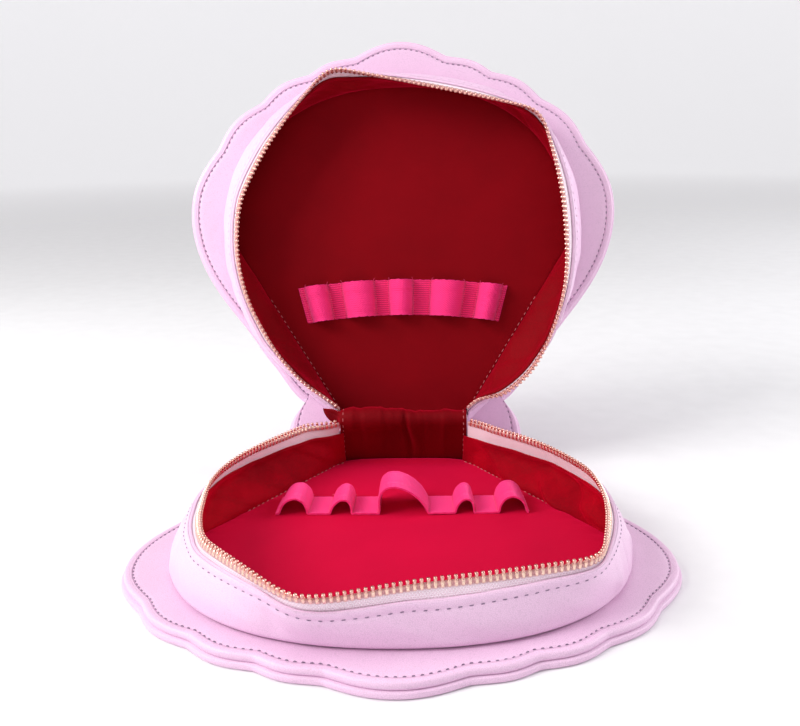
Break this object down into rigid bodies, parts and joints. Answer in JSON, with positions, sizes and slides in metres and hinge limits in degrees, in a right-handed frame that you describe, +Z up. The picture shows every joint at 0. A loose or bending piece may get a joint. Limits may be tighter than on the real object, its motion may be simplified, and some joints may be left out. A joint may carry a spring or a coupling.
{
  "type": "makeup brush case",
  "caption": "Shell-shaped zip-around brush case in lilac leatherette, open, with a red lined tray in the base and in the lid and an elastic band of brush loops in each.",
  "frame": {"origin": "underside of the base half, below the centre of its round front", "axes": "+Z up, +Y from the round front to the hinge, +X to the right seen from the front, across the case"},
  "size_m": [0.23, 0.2781, 0.2219],
  "materials": {
    "panel_leatherette": "smooth satin leatherette",
    "wall_leatherette": "smooth satin leatherette",
    "zip_tape": "woven tape",
    "rose_gold": "polished, plated",
    "red_lining": "smooth woven lining",
    "pink_elastic": "ribbed woven elastic"
  },
  "bodies": {
    "base": {"base_outer_panel": "panel_leatherette", "base_inner_panel": "panel_leatherette", "base_gusset": "wall_leatherette", "base_zip_tape": "zip_tape", "base_zip_teeth": "rose_gold", "base_wall_lining": "red_lining", "base_floor_lining": "red_lining", "base_hinge_leather": "wall_leatherette", "base_hinge_lining": "red_lining", "base_elastic_band": "pink_elastic", "zip_slider": "rose_gold", "zip_pull": "rose_gold"},
    "lid": {"lid_outer_panel": "panel_leatherette", "lid_inner_panel": "panel_leatherette", "lid_gusset": "wall_leatherette", "lid_zip_tape": "zip_tape", "lid_zip_teeth": "rose_gold", "lid_wall_lining": "red_lining", "lid_floor_lining": "red_lining", "lid_hinge_leather": "wall_leatherette", "lid_hinge_lining": "red_lining", "lid_elastic_band": "pink_elastic"}
  },
  "joints": [
    {"name": "lid_hinge", "type": "hinge", "parent": "base", "child": "lid", "pos_m": [0, 0.085, 0.034], "axis": [1, 0, 0], "range_deg": [0, 103]}
  ]
}
